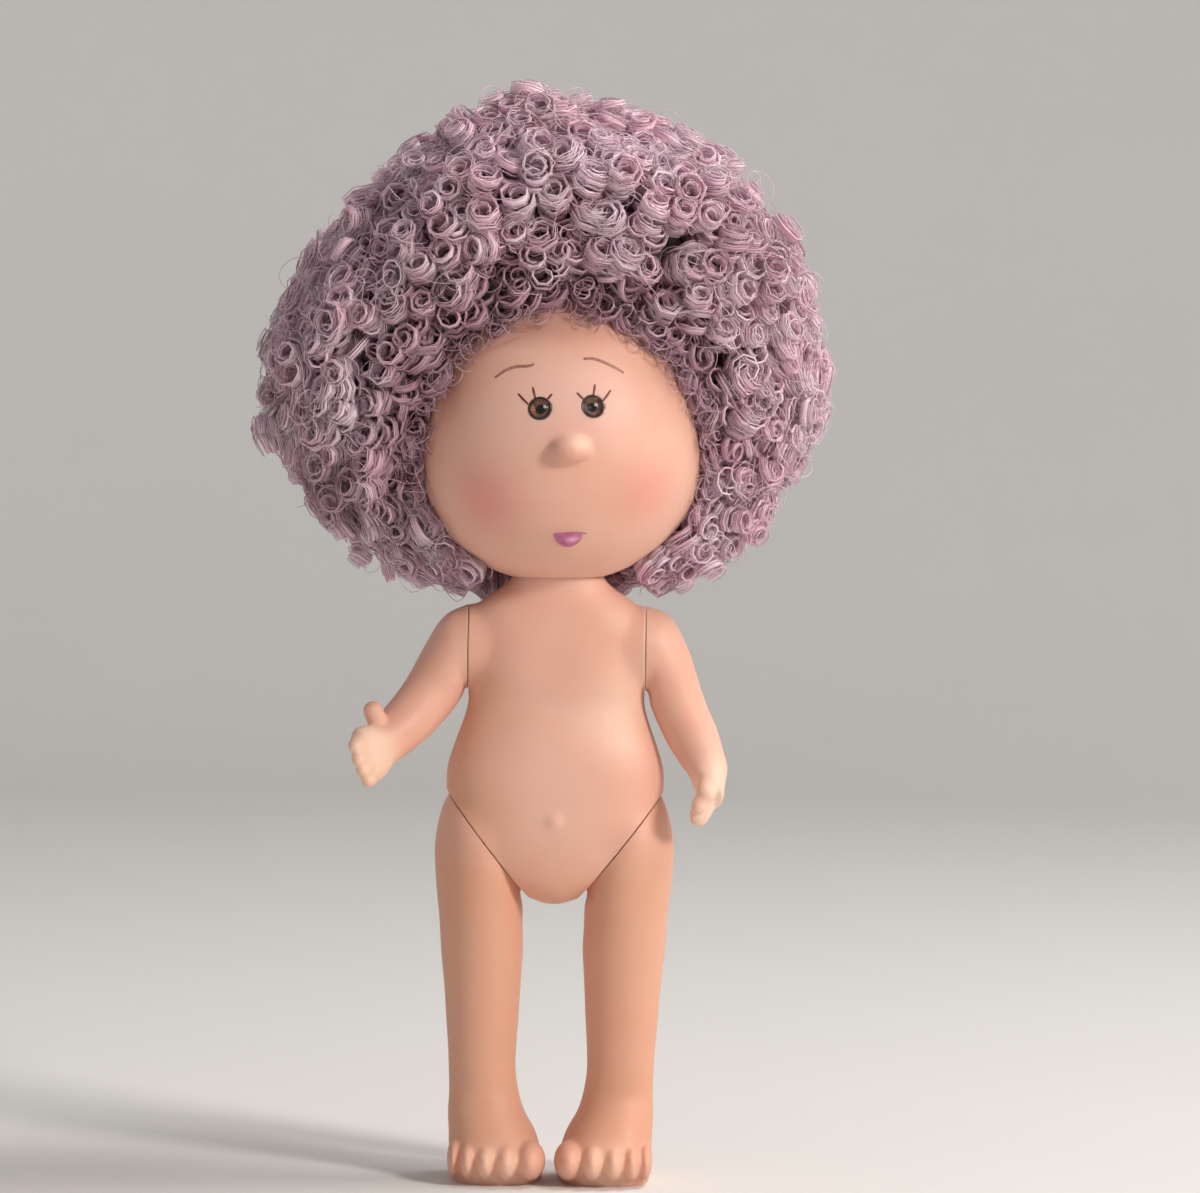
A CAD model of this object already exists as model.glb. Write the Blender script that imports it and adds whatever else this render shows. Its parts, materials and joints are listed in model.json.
import json
import math
import random

import bmesh
import bpy
from mathutils import Matrix, Vector, noise


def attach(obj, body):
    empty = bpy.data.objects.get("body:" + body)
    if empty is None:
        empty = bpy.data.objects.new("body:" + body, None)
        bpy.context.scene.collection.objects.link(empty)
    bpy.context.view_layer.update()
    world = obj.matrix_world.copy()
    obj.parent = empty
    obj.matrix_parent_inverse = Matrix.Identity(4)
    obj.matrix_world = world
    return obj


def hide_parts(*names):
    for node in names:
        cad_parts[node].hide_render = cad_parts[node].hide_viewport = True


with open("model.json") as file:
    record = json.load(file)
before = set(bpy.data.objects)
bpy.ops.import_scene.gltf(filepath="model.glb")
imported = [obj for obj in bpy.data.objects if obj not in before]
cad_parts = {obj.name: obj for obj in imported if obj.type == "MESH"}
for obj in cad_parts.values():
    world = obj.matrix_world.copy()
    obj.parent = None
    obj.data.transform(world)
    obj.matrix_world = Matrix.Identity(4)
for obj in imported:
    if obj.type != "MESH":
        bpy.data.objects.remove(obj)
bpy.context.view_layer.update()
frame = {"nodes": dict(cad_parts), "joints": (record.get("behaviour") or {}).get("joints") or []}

# A vinyl play doll with rooted curls. Scene units are metres. Sizes in the dictionaries
# are millimetres, but the stage and its lamps are given in metres.
mm = 0.001
up = Vector((0, 0, 1))
right = Vector((1, 0, 0))
joints = {joint["name"]: Vector(joint["pos_m"]) for joint in frame["joints"]}
neckPlace = joints["neck_turn"]
dollAxis = Vector((neckPlace.x, neckPlace.y, 0))
print("frame loaded:", len(frame["nodes"]), "nodes")


# Camera, floor and lights
camera = {"distance": 1300, "height": 205, "aimAcross": 11.6, "aimHeight": 161, "lean": 0.82,
          "frameWidth": 330.2, "sensor": 36, "nearest": 50, "farthest": 50000}


def placeCamera(values):
    eye = bpy.data.cameras.new("photoCamera")
    aim = dollAxis + Vector((values["aimAcross"], 0, values["aimHeight"])) * mm
    place = dollAxis + Vector((values["aimAcross"], -values["distance"], values["height"])) * mm
    eye.sensor_width = values["sensor"]
    eye.lens = values["sensor"] * (aim - place).length / (values["frameWidth"] * mm)
    eye.clip_start = values["nearest"] * mm
    eye.clip_end = values["farthest"] * mm
    holder = bpy.data.objects.new("photoCamera", eye)
    holder.rotation_mode = "QUATERNION"
    facing = (aim - place).to_track_quat("-Z", "Y")
    roll = Matrix.Rotation(math.radians(values["lean"]), 3, "Z").to_quaternion()
    holder.rotation_quaternion = facing @ roll
    holder.location = place
    bpy.context.scene.collection.objects.link(holder)
    bpy.context.scene.camera = holder


placeCamera(camera)

stage = {"floorRadius": 2.1, "coveRadius": 0.7, "coveSteps": 12, "wallHeight": 1.5, "segments": 96,
         "tones": ((0.77, 0.757, 0.737, 1), (0.7931, 0.77971, 0.75911, 1)), "wash": (6, 2),
         "lampTarget": 0.17, "world": 0.275, "worldColour": (0.97, 0.98, 1, 1)}
lights = {
    "key": {"place": (1.15, -0.95, 0.85), "size": 0.34, "power": 16.5, "colour": (1, 0.955, 0.90)},
    "fill": {"place": (-1.15, -0.95, 0.55), "size": 1.1, "power": 0.35, "colour": (0.93, 0.96, 1)},
    "top": {"place": (0.75, 0.1, 1.45), "size": 0.7, "power": 13, "colour": (1, 0.97, 0.95)},
}


def placeLights():
    target = dollAxis + up * stage["lampTarget"]
    for name, values in lights.items():
        lamp = bpy.data.lights.new(name, "AREA")
        lamp.shape = "DISK"
        lamp.size = values["size"]
        lamp.energy = values["power"]
        lamp.color = values["colour"]
        holder = bpy.data.objects.new(name, lamp)
        holder.location = values["place"]
        holder.rotation_mode = "QUATERNION"
        holder.rotation_quaternion = (target - holder.location).to_track_quat("-Z", "Y")
        holder.visible_camera = False
        bpy.context.scene.collection.objects.link(holder)
    world = bpy.data.worlds.new("studio")
    world.use_nodes = True
    background = world.node_tree.nodes["Background"]
    background.inputs["Color"].default_value = stage["worldColour"]
    background.inputs["Strength"].default_value = stage["world"]
    bpy.context.scene.world = world
    bpy.context.scene.view_settings.view_transform = "Standard"


placeLights()
print("camera and lamps placed")


# Meshes
def meshObject(name, bm):
    mesh = bpy.data.meshes.new(name)
    bm.normal_update()
    bm.to_mesh(mesh)
    bm.free()
    made = bpy.data.objects.new(name, mesh)
    bpy.context.scene.collection.objects.link(made)
    return made


def smoothShading(made):
    made.data.polygons.foreach_set("use_smooth", [True] * len(made.data.polygons))
    made.data.update()


def bakeModifiers(made):
    bpy.context.view_layer.update()
    shown = made.evaluated_get(bpy.context.evaluated_depsgraph_get())
    mesh = bpy.data.meshes.new_from_object(shown)
    made.modifiers.clear()
    made.data = mesh


def finishPiece(made, body, slotName, material, nodes=()):
    made.data.materials.clear()
    made.data.materials.append(material)
    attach(made, body)
    if nodes:
        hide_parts(*nodes)
    return made


def blunt(value, outline):
    return math.copysign(abs(value) ** (2 / outline), value)


def ringPoint(station, angle):
    sideways = blunt(math.cos(angle), station["outline"]) * station["wide"]
    lengthways = blunt(math.sin(angle), station["outline"])
    depth = lengthways * (station["front"] if lengthways > 0 else station["back"])
    return station["at"] + station["across"] * sideways + station["ahead"] * depth


# A closed shell swept through its stations: one ring of vertices, extruded to each station in turn.
def sweepShell(bm, stations, sides):
    turn = bm.verts.layers.float.get("turn") or bm.verts.layers.float.new("turn")
    ring = bmesh.ops.create_circle(bm, cap_ends=True, segments=sides, radius=1)["verts"]
    for vert in ring:
        vert[turn] = math.atan2(vert.co.y, vert.co.x)
        vert.co = ringPoint(stations[0], vert[turn])
    edges = list({e for v in ring for e in v.link_edges})
    for station in stations[1:]:
        made = bmesh.ops.extrude_edge_only(bm, edges=edges)["geom"]
        edges = [item for item in made if isinstance(item, bmesh.types.BMEdge)]
        for vert in {v for edge in edges for v in edge.verts}:
            vert.co = ringPoint(station, vert[turn])
    bmesh.ops.contextual_create(bm, geom=edges)


def ballShell(bm, matrix, segments=24):
    bmesh.ops.create_uvsphere(bm, u_segments=segments, v_segments=segments // 2, radius=1, matrix=matrix)


def rodShell(bm, matrix, radius, depth, segments=48):
    shift = Matrix.Translation((0, 0, depth / 2))
    bmesh.ops.create_cone(bm, cap_ends=True, segments=segments, radius1=radius, radius2=radius,
                          depth=depth, matrix=matrix @ shift)


def aimedMatrix(place, direction):
    return Matrix.Translation(place) @ direction.to_track_quat("Z", "Y").to_matrix().to_4x4()


# Values of all stations run through smooth curves, so that the sweep has no corners.
def between(values, share):
    last = len(values) - 1
    spot = min(share * last, last - 1e-6)
    index = int(spot)
    t = spot - index
    b, c = values[index], values[index + 1]
    a = values[index - 1] if index > 0 else b * 2 - c
    d = values[index + 2] if index + 2 <= last else c * 2 - b
    return (b * 2 + (c - a) * t + (a * 2 - b * 5 + c * 4 - d) * t ** 2
            + (b * 3 - a - c * 3 + d) * t ** 3) * 0.5


def smoothStations(stations, steps):
    count = (len(stations) - 1) * steps
    keys = ("wide", "front", "back", "outline", "roll")
    made = []
    for i in range(count + 1):
        station = {key: between([s[key] for s in stations], i / count) for key in keys}
        station["at"] = between([s["at"] for s in stations], i / count)
        station["facing"] = between([s["facing"] for s in stations], i / count).normalized()
        made.append(station)
    return made


def framedStations(stations, firstAcross):
    across = firstAcross.copy()
    before = stations[0]["facing"]
    for station in stations:
        across.rotate(before.rotation_difference(station["facing"]))
        before = station["facing"]
        rolled = across.copy()
        rolled.rotate(Matrix.Rotation(math.radians(station["roll"]), 3, station["facing"]))
        station["across"] = rolled
        station["ahead"] = station["facing"].cross(rolled)
    return stations


# Shells that overlap become one moulded skin: remeshed, smoothed, then cut flat at its joint discs.
def mouldedSkin(name, bm, voxel, passes):
    bmesh.ops.recalc_face_normals(bm, faces=bm.faces)
    made = meshObject(name, bm)
    remesh = made.modifiers.new("skin", "REMESH")
    remesh.mode = "VOXEL"
    remesh.voxel_size = voxel * mm
    smooth = made.modifiers.new("soft", "SMOOTH")
    smooth.factor = 0.5
    smooth.iterations = passes
    bakeModifiers(made)
    return made


# How the skin is drawn in under a disc before its cut, and how deep behind the disc the cut works
discCut = {"margin": 0.8, "clear": 0.05, "fade": 4, "reach": 4, "slope": 0.2}


def cutFlat(made, cuts):
    bm = bmesh.new()
    bm.from_mesh(made.data)
    margin, clear, fade, reach = (discCut[key] * mm for key in ("margin", "clear", "fade", "reach"))
    for place, direction, keepBelow in cuts:
        if keepBelow is None:
            geom = bm.verts[:] + bm.edges[:] + bm.faces[:]
        else:
            # The skin just under the disc is drawn in behind the plane, so that the cut is one closed ring.
            for vert in bm.verts:
                past = (vert.co - place).dot(direction)
                allowed = max(0, keepBelow - margin - vert.co.z) * discCut["slope"] - clear
                if vert.co.z < keepBelow + margin and past > allowed:
                    vert.co -= direction * ((past - allowed) * max(0, 1 - (keepBelow - vert.co.z) / fade))
            faces = [f for f in bm.faces if f.calc_center_median().z > keepBelow
                     and (f.calc_center_median() - place).dot(direction) > -reach]
            edges = list({e for f in faces for e in f.edges})
            geom = list({v for f in faces for v in f.verts}) + edges + faces
        cut = bmesh.ops.bisect_plane(bm, geom=geom, plane_co=place, plane_no=direction, clear_outer=True)
        rim = [item for item in cut["geom_cut"] if isinstance(item, bmesh.types.BMEdge)]
        bmesh.ops.holes_fill(bm, edges=rim, sides=0)
    bmesh.ops.recalc_face_normals(bm, faces=bm.faces)
    bm.to_mesh(made.data)
    bm.free()


# Softens the mesh near a place, so that a small form grows out of the skin around it.
def softenNear(made, place, radius, passes):
    bm = bmesh.new()
    bm.from_mesh(made.data)
    near = [v for v in bm.verts if (v.co - place).length < radius * mm]
    for _ in range(passes):
        bmesh.ops.smooth_vert(bm, verts=near, factor=0.5, use_axis_x=True, use_axis_y=True, use_axis_z=True)
    bm.to_mesh(made.data)
    bm.free()


# Shader nodes
def feed(tree, socket, value):
    if isinstance(value, bpy.types.NodeSocket):
        tree.links.new(value, socket)
    else:
        socket.default_value = value


def feedAll(tree, node, **values):
    for label, value in values.items():
        feed(tree, node.inputs[label.replace("_", " ")], value)


def addNode(tree, kind, settings=None, values=None):
    node = tree.nodes.new(kind)
    for key, value in (settings or {}).items():
        setattr(node, key, value)
    for key, value in (values or {}).items():
        feed(tree, node.inputs[key], value)
    return node


def objectCoords(tree):
    return addNode(tree, "ShaderNodeTexCoord").outputs["Object"]


# Coordinates in a matrix's own space, where its unit ball has the length one
def coordsAt(tree, matrix):
    place, turn, size = matrix.decompose()
    values = {"Vector": objectCoords(tree), "Location": place, "Rotation": turn.to_euler(), "Scale": size}
    return addNode(tree, "ShaderNodeMapping", {"vector_type": "TEXTURE"}, values).outputs["Vector"]


def noiseOf(tree, coords, scale, detail, roughness=0.5):
    values = {"Vector": coords, "Scale": scale, "Detail": detail, "Roughness": roughness}
    return addNode(tree, "ShaderNodeTexNoise", values=values).outputs["Fac"]


def mathOf(tree, operation, *numbers):
    return addNode(tree, "ShaderNodeMath", {"operation": operation}, dict(enumerate(numbers))).outputs["Value"]


def vectorMath(tree, operation, *vectors):
    node = addNode(tree, "ShaderNodeVectorMath", {"operation": operation}, dict(enumerate(vectors)))
    return node.outputs["Value" if operation in ("LENGTH", "DISTANCE") else "Vector"]


def mixColours(tree, factor, a, b):
    return addNode(tree, "ShaderNodeMix", {"data_type": "RGBA"}, {0: factor, 6: a, 7: b}).outputs[2]


def rangeOf(tree, value, fromMin, fromMax, toMin, toMax):
    values = {"Value": value, "From Min": fromMin, "From Max": fromMax, "To Min": toMin, "To Max": toMax}
    return addNode(tree, "ShaderNodeMapRange", {"interpolation_type": "SMOOTHSTEP"}, values).outputs["Result"]


def bumpFrom(tree, height, distance, strength):
    values = {"Height": height, "Strength": strength, "Distance": distance * mm}
    return addNode(tree, "ShaderNodeBump", values=values).outputs["Normal"]


def newGroup(name, inputs, outputs):
    tree = bpy.data.node_groups.new(name, "ShaderNodeTree")
    for way, sockets in (("INPUT", inputs), ("OUTPUT", outputs)):
        for label, kind in sockets.items():
            tree.interface.new_socket(name=label, in_out=way, socket_type="NodeSocket" + kind)
    return tree, tree.nodes.new("NodeGroupInput").outputs, tree.nodes.new("NodeGroupOutput")


# In all finishes a noise is given by its scale and detail, and a range by the two ends in and the two ends out.
vinylFinish = {"blotchDetail": 3, "blotchRange": (0.38, 0.66, 0, 1), "grain": (1500, 2),
               "handled": (130, 4), "roughness": (0.3, 0.7, 0.46, 0.59)}
fibreFinish = {"stretch": (0.9, 6, 1), "streak": (1, 2), "lock": (95, 1), "patch": (22, 2),
               "lockRange": (0.36, 0.64, 0, 1), "patchRange": (0.5, 0.75, 0, 0.55),
               "streakRange": (0.47, 0.6, 0.28, 0), "roughness": (0.35, 0.65, 0.28, 0.44),
               "alphaRange": (0.45, 0.52, 0.12, 1)}


# Soft mottling of moulded vinyl: two colours, a changing roughness and a fine grain
def vinylGroup(values):
    tree, given, sink = newGroup("vinylTone", {"Light": "Color", "Deep": "Color", "Blotch": "Float"},
                                 {"Color": "Color", "Roughness": "Float", "Grain": "Float"})
    coords = objectCoords(tree)
    blotch = noiseOf(tree, coords, given["Blotch"], values["blotchDetail"])
    colour = mixColours(tree, rangeOf(tree, blotch, *values["blotchRange"]), given["Light"], given["Deep"])
    handled = noiseOf(tree, coords, *values["handled"])
    feedAll(tree, sink, Color=colour, Roughness=rangeOf(tree, handled, *values["roughness"]),
            Grain=noiseOf(tree, coords, *values["grain"]))
    return tree


# An oval patch that fades out: one at its middle, nothing past its edge
def patchGroup():
    tree, given, sink = newGroup("ovalPatch", {"Vector": "Vector", "Core": "Float"}, {"Mask": "Float"})
    length = vectorMath(tree, "LENGTH", given["Vector"])
    feedAll(tree, sink, Mask=rangeOf(tree, length, given["Core"], 1, 1, 0))
    return tree


# Fine fibres along a lock: streaks that run with its length, darker deep in the hair
def fibreGroup(values):
    tree, given, sink = newGroup(
        "fibreStreaks", {"Light": "Color", "Middle": "Color", "Dark": "Color", "Depth": "Float"},
        {"Color": "Color", "Roughness": "Float", "Height": "Float", "Alpha": "Float"})
    coords = objectCoords(tree)
    along = addNode(tree, "ShaderNodeUVMap").outputs["UV"]
    stretched = addNode(tree, "ShaderNodeMapping", values={"Vector": along, "Scale": values["stretch"]})
    streak = noiseOf(tree, stretched.outputs["Vector"], *values["streak"])
    lock = rangeOf(tree, noiseOf(tree, coords, *values["lock"]), *values["lockRange"])
    patch = rangeOf(tree, noiseOf(tree, coords, *values["patch"]), *values["patchRange"])
    colour = mixColours(tree, lock, given["Middle"], given["Light"])
    for amount in (patch, rangeOf(tree, streak, *values["streakRange"]), given["Depth"]):
        colour = mixColours(tree, amount, colour, given["Dark"])
    # Locks show gaps between their fibres; single fibres lie at a negative V and stay whole
    apart = addNode(tree, "ShaderNodeSeparateXYZ", values={"Vector": along})
    whole = mathOf(tree, "LESS_THAN", apart.outputs["Y"], 0)
    feedAll(tree, sink, Color=colour, Roughness=rangeOf(tree, streak, *values["roughness"]), Height=streak,
            Alpha=mathOf(tree, "MAXIMUM", rangeOf(tree, streak, *values["alphaRange"]), whole))
    return tree


groups = {"vinyl": vinylGroup(vinylFinish), "patch": patchGroup(), "fibre": fibreGroup(fibreFinish)}


def placeGroup(tree, group, **values):
    return addNode(tree, "ShaderNodeGroup", {"node_tree": groups[group]}, values)


def newMaterial(name, **values):
    material = bpy.data.materials.new(name)
    material.use_nodes = True
    shader = material.node_tree.nodes["Principled BSDF"]
    feedAll(material.node_tree, shader, **values)
    return material, material.node_tree, shader


# Patches of paint over a colour, each with its matrix, core, amount and tone
def patchedColour(tree, colour, patches):
    for matrix, core, amount, tone in patches:
        patch = placeGroup(tree, "patch", Vector=coordsAt(tree, matrix), Core=core)
        strength = mathOf(tree, "MULTIPLY", patch.outputs["Mask"], amount)
        colour = mixColours(tree, strength, colour, tone)
    return colour


# Paint, paper or plastic whose tone and gloss change a little from place to place
def washedMaterial(name, values, patches=(), **settings):
    material, tree, shader = newMaterial(name, **settings)
    wash = noiseOf(tree, objectCoords(tree), *values["wash"])
    amount = rangeOf(tree, wash, *values["washRange"]) if "washRange" in values else wash
    colour = patchedColour(tree, mixColours(tree, amount, *values["tones"]), patches)
    feedAll(tree, shader, Base_Color=colour)
    if "roughness" in values:
        feedAll(tree, shader, Roughness=rangeOf(tree, wash, *values["roughness"]))
    return material


skin = {
    "light": (0.79, 0.46, 0.355, 1), "deep": (0.74, 0.385, 0.285, 1), "pale": (0.92, 0.69, 0.53, 1),
    "tan": (0.68, 0.33, 0.20, 1), "brow": (0.80, 0.50, 0.43, 1), "root": (0.42, 0.19, 0.14, 1),
    "blush": (0.75, 0.27, 0.225, 1), "blotch": 24, "grain": (0.02, 0.35),
}


def skinMaterial(name, patches):
    material, tree, shader = newMaterial(name, Specular_IOR_Level=0.42, Subsurface_Weight=0.22,
                                         Subsurface_Scale=0.005, Subsurface_Radius=(1, 0.38, 0.22))
    vinyl = placeGroup(tree, "vinyl", Light=skin["light"], Deep=skin["deep"], Blotch=skin["blotch"]).outputs
    feedAll(tree, shader, Base_Color=patchedColour(tree, vinyl["Color"], patches), Roughness=vinyl["Roughness"],
            Normal=bumpFrom(tree, vinyl["Grain"], *skin["grain"]))
    return material


# A round patch of another tone
def spot(place, size, core, amount, tone):
    return Matrix.Translation(place) @ Matrix.Scale(size * mm, 4), core, amount, skin[tone]


# Torso
torso = {
    "hipWidth": 61.4, "depth": 36.6, "neckRadius": 12.7, "crotchDrop": 17.6,
    "shoulderRadius": 11.5, "hipRadius": 16.4, "hipLean": 38, "discReach": 3, "discSink": 0.4,
    "yokeDrop": 1.2, "neckDip": 2.8,
    "navelRadius": 2.2, "navelRise": 1.5, "navelDrop": -6.3, "navelSeat": 0.99,
    "stations": [
        (0, 0.04, 0.2, 0.22, 2), (0.006, 0.13, 0.42, 0.46, 2), (0.022, 0.25, 0.6, 0.68, 2),
        (0.05, 0.44, 0.74, 0.82, 2.1), (0.085, 0.72, 0.84, 0.92, 2.2), (0.14, 0.9, 0.93, 1.02, 2.4),
        (0.22, 0.965, 0.99, 1.04, 2.5), (0.31, 0.97, 1, 0.95, 2.5), (0.4, 0.975, 0.98, 0.83, 2.4),
        (0.48, 0.905, 0.92, 0.75, 2.3),
        (0.55, 0.83, 0.81, 0.71, 2.3), (0.6, 0.79, 0.745, 0.7, 2.4), (0.66, 0.785, 0.79, 0.705, 2.5),
        (0.72, 0.785, 0.79, 0.71, 2.6), (0.79, 0.785, 0.76, 0.71, 2.7), (0.86, 0.775, 0.7, 0.69, 2.5),
        (0.905, 0.67, 0.64, 0.67, 2.3), (0.94, 0.52, 0.62, 0.66, 2.1),
    ],
    "sides": 72, "steps": 4, "voxel": 0.75, "passes": 34,
    "patches": [((-30, -10, 100), 30, 0.1, 0.75, "tan"), ((-26, -10, 130), 24, 0.1, 0.5, "tan"),
                ((20, -16, 131), 20, 0.1, 0.4, "pale"), ((0, -12, 78), 24, 0.1, 0.45, "tan")],
}
hipHeight = joints["hip_left"].z
shoulderHeight = joints["shoulder_left"].z


def hipAxis(side):
    lean = math.radians(torso["hipLean"])
    return Vector((math.cos(lean) * side, 0, -math.sin(lean)))


def makeTorso(values):
    bm = bmesh.new()
    crotch = hipHeight - values["crotchDrop"] * mm
    rise = neckPlace.z - crotch
    stations = []
    for height, width, ahead, behind, outline in values["stations"]:
        stations.append({
            "at": dollAxis + up * (crotch + height * rise), "facing": up.copy(),
            "wide": width * values["hipWidth"] * mm / 2, "front": ahead * values["depth"] * mm / 2,
            "back": behind * values["depth"] * mm / 2, "outline": outline, "roll": 0,
        })
    neck = {"facing": up.copy(), "outline": 2, "roll": 0}
    for key in ("wide", "front", "back"):
        neck[key] = values["neckRadius"] * mm
    for drop in (values["neckDip"], 0):
        stations.append({**neck, "at": dollAxis + up * (neckPlace.z - drop * mm)})
    body = framedStations(smoothStations(stations, values["steps"]), -right)
    sweepShell(bm, body, values["sides"])
    reach = values["discReach"] * mm
    spread = joints["shoulder_left"].x - joints["shoulder_right"].x
    yoke = aimedMatrix(joints["shoulder_right"] - right * reach, right)
    rodShell(bm, yoke, values["shoulderRadius"] * mm, spread + 2 * reach)
    cuts = []
    for side, name in ((1, "left"), (-1, "right")):
        place = joints["hip_" + name]
        axis = hipAxis(side)
        depth = values["hipRadius"] * mm
        sink = values["discSink"]
        rodShell(bm, aimedMatrix(place - axis * depth * sink, axis), depth, depth * sink + reach)
        cuts.append((place, axis, None))
        yokeBottom = shoulderHeight - values["shoulderRadius"] * values["yokeDrop"] * mm
        cuts.append((joints["shoulder_" + name], right * side, yokeBottom))
    navelHeight = hipHeight - values["navelDrop"] * mm
    navelFront = dollAxis.y - values["depth"] * mm / 2 * values["navelSeat"]
    size = Matrix.Diagonal((values["navelRadius"] * mm, values["navelRise"] * mm, values["navelRadius"] * mm, 1))
    ballShell(bm, Matrix.Translation((dollAxis.x, navelFront, navelHeight)) @ size)
    made = mouldedSkin("torsoSkin", bm, values["voxel"], values["passes"])
    cutFlat(made, cuts)
    smoothShading(made)
    patches = [spot(dollAxis + Vector(place) * mm, *rest) for place, *rest in values["patches"]]
    return finishPiece(made, "torso", "skin_vinyl", skinMaterial("torsoVinyl", patches), ["torso"])


torsoSkin = makeTorso(torso)
print("torso made:", len(torsoSkin.data.polygons), "faces")

# Arms
arms = {
    "length": 50, "gap": 0.22, "discRadius": 11.5, "handWidth": 16.2, "handDepth": 8.6,
    "fingerRadius": 2.3, "fingerLength": 8.2, "fingerLengths": (0.86, 1, 0.95, 0.78),
    "thumbRadius": 2.8, "thumbLength": 8.4, "thumbRoot": 0.6,
    "palm": [(0.08, 0.47, 0.5), (0.14, 0.5, 0.42), (0.175, 0.46, 0.36)], "palmOutline": 2.4,
    "bent": [
        (0, 0, 0, 1, 0, 0, 1, 1, 0), (0.075, 0.01, 0.035, 0.96, -0.03, -0.28, 0.9, 0.94, 0),
        (0.13, 0.03, 0.13, 0.83, -0.1, -0.54, 0.78, 0.84, 0),
        (0.205, 0.07, 0.262, 0.66, -0.25, -0.7, 0.68, 0.72, 0),
        (0.29, 0.15, 0.372, 0.68, -0.45, -0.58, 0.64, 0.65, 0),
        (0.37, 0.24, 0.455, 0.64, -0.62, -0.46, 0.6, 0.58, 8),
        (0.45, 0.35, 0.53, 0.56, -0.74, -0.37, 0.54, 0.46, 22),
    ],
    "straight": [
        (0, 0, 0, 1, 0, 0, 1, 1, 0), (0.07, 0, 0.03, 0.96, 0, -0.26, 0.95, 0.95, 0),
        (0.118, 0.01, 0.115, 0.87, -0.05, -0.5, 0.82, 0.85, 0),
        (0.16, 0.025, 0.24, 0.6, -0.12, -0.79, 0.67, 0.73, 5),
        (0.205, 0.055, 0.36, 0.36, -0.2, -0.91, 0.62, 0.65, 20),
        (0.26, 0.1, 0.475, 0.33, -0.3, -0.89, 0.62, 0.61, 40),
        (0.315, 0.165, 0.59, 0.3, -0.38, -0.87, 0.55, 0.53, 60),
        (0.345, 0.21, 0.655, 0.14, -0.45, -0.88, 0.51, 0.48, 78),
    ],
    "bentHand": {"curl": 0.45, "along": 0.1, "side": 1, "inwards": 0.05, "back": 3.25},
    "straightHand": {"curl": 0.7, "along": 1, "side": 0.3, "inwards": 0.3, "back": 2},
    "digit": ((0, 0.9), (0.35, 1), (0.7, 0.98), (0.86, 0.84), (0.95, 0.58), (1, 0.25)), "digitSides": 20,
    "rootReach": 3, "sides": 48, "steps": 4, "voxel": 0.42, "passes": 13, "palePatch": (15, 0.25, 0.7, "pale"),
}


def digitShell(bm, radius, length, start, aim):
    across = aim.cross(up if abs(aim.z) < 0.9 else right).normalized()
    stations = []
    for along, share in arms["digit"]:
        stations.append({
            "at": start + aim * (length * along), "facing": aim, "across": across,
            "ahead": aim.cross(across), "wide": radius * share, "front": radius * share,
            "back": radius * share, "outline": 2,
        })
    sweepShell(bm, stations, arms["digitSides"])


def makeArm(values, name, side, shares, hand):
    bm = bmesh.new()
    stations = []
    length = values["length"]
    for out, ahead, down, x, y, z, wide, deep, roll in shares:
        stations.append({
            "at": Vector((out * length + values["gap"], -ahead * length, -down * length)) * mm,
            "facing": Vector((x, y, z)).normalized(), "wide": wide * values["discRadius"] * mm,
            "front": deep * values["discRadius"] * mm, "back": deep * values["discRadius"] * mm,
            "outline": 2, "roll": roll,
        })
    wrist = stations[-1]
    for along, wide, deep in values["palm"]:
        stations.append({
            **wrist, "at": wrist["at"] + wrist["facing"] * (along * length * mm),
            "wide": wide * values["handWidth"] * mm, "front": deep * values["handDepth"] * mm,
            "back": deep * values["handDepth"] * mm, "outline": values["palmOutline"],
        })
    frames = framedStations(smoothStations(stations, values["steps"]), up)
    root = {**frames[0], "at": frames[0]["at"] - right * values["rootReach"] * mm}
    sweepShell(bm, [root] + frames, values["sides"])
    end = frames[-1]
    start = frames[-1 - round(hand["back"] * values["steps"])]
    aim = (end["facing"] + end["ahead"] * hand["curl"]).normalized()
    radius = values["fingerRadius"] * mm
    outermost = end["wide"] - radius
    for i, share in enumerate(values["fingerLengths"]):
        sideways = outermost * (1 - 2 * i / (len(values["fingerLengths"]) - 1))
        place = end["at"] + end["across"] * sideways - end["facing"] * radius
        digitShell(bm, radius, values["fingerLength"] * share * mm + radius, place, aim)
    thumbPlace = start["at"] + start["across"] * (start["wide"] * values["thumbRoot"])
    thumbAim = start["facing"] * hand["along"] + start["across"] * hand["side"] + start["ahead"] * hand["inwards"]
    digitShell(bm, values["thumbRadius"] * mm, values["thumbLength"] * mm, thumbPlace, thumbAim.normalized())
    place = joints["shoulder_" + name]
    bmesh.ops.scale(bm, vec=(side, 1, 1), verts=bm.verts)
    bmesh.ops.translate(bm, vec=place, verts=bm.verts)
    made = mouldedSkin("armSkin_" + name, bm, values["voxel"], values["passes"])
    face = place + right * (side * values["gap"] * mm)
    cutFlat(made, [(face, -right * side, None)])
    smoothShading(made)
    handPlace = place + Vector((end["at"].x * side, end["at"].y, end["at"].z))
    vinyl = skinMaterial("armVinyl_" + name, [spot(handPlace, *values["palePatch"])])
    return finishPiece(made, "arm_" + name, "skin_vinyl", vinyl, ["arm_" + name])


makeArm(arms, "left", 1, arms["straight"], arms["straightHand"])
makeArm(arms, "right", -1, arms["bent"], arms["bentHand"])
print("arms made")

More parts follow.
